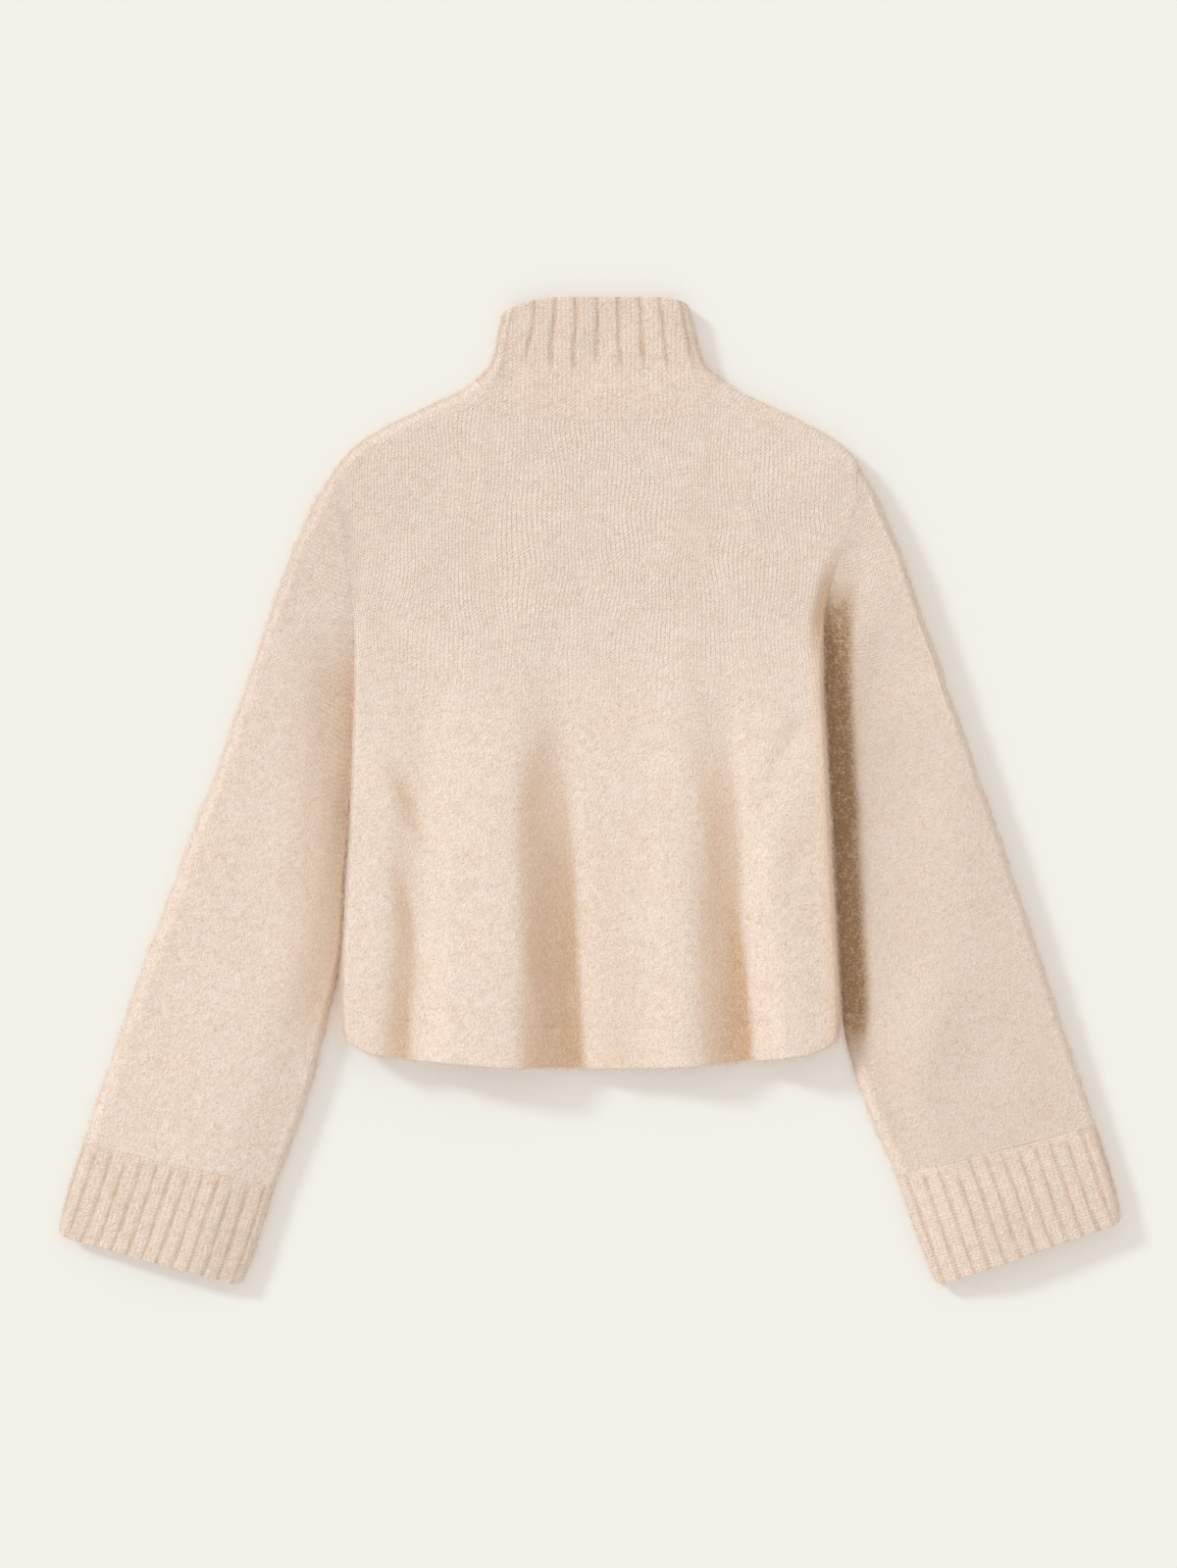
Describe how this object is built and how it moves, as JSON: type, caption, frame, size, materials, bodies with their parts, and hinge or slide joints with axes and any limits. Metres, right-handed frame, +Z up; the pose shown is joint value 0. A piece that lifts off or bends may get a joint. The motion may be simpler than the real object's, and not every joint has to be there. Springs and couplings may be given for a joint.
{
  "type": "cardigan",
  "caption": "Cropped cardigan with drop shoulders, wide sleeves, ribbed cuffs and a high ribbed neck, laid out flat, face down.",
  "frame": {"origin": "on the surface the garment lies on, under the middle of its outline", "axes": "+X towards the wearer's right sleeve, +Y towards the collar, +Z up out of the garment's back"},
  "size_m": [0.791, 0.7368, 0.028],
  "materials": {
    "brushed_knit": "stocking stitch in brushed alpaca, oat heather, with a soft nap",
    "ribbed_knit": "two by two rib in brushed alpaca, oat heather"
  },
  "bodies": {
    "root": {"back": "brushed_knit", "front_left": "brushed_knit", "front_right": "brushed_knit", "sleeve_left": "brushed_knit", "sleeve_right": "brushed_knit", "cuff_left": "ribbed_knit", "cuff_right": "ribbed_knit", "collar": "ribbed_knit"}
  },
  "joints": []
}
